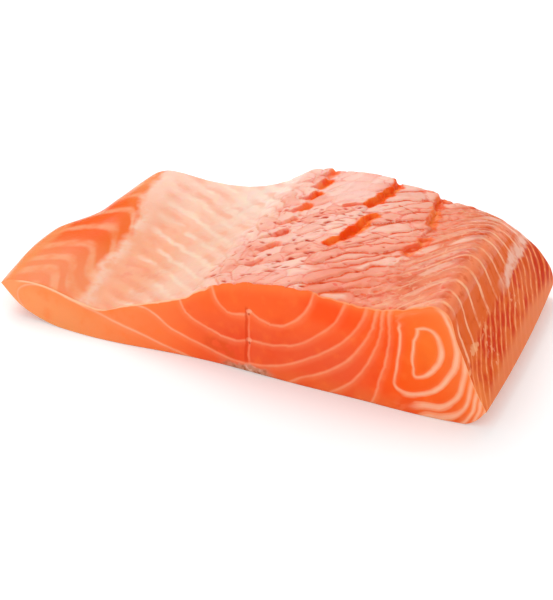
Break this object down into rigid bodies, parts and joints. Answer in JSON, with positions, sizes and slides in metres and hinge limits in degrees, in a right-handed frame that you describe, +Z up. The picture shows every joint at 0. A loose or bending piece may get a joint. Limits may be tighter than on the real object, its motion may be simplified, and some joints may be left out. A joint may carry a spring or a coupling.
{
  "type": "raw salmon fillet portion",
  "caption": "Raw skinned salmon portion: a full-width slab cut from a fillet, thin belly edge on one side, thick back edge on the other.",
  "frame": {"origin": "on the table, under the middle of the bounding box", "axes": "+X from the thin belly edge to the thick back edge, +Y along the fish away from the front cut, +Z up"},
  "size_m": [0.1833, 0.0964, 0.0408],
  "materials": {
    "flesh": "raw fish flesh: wet and slightly glossy, orange with pale fat lines, paler and pinker on the inner face"
  },
  "bodies": {
    "root": {"salmon": "flesh"}
  },
  "joints": []
}
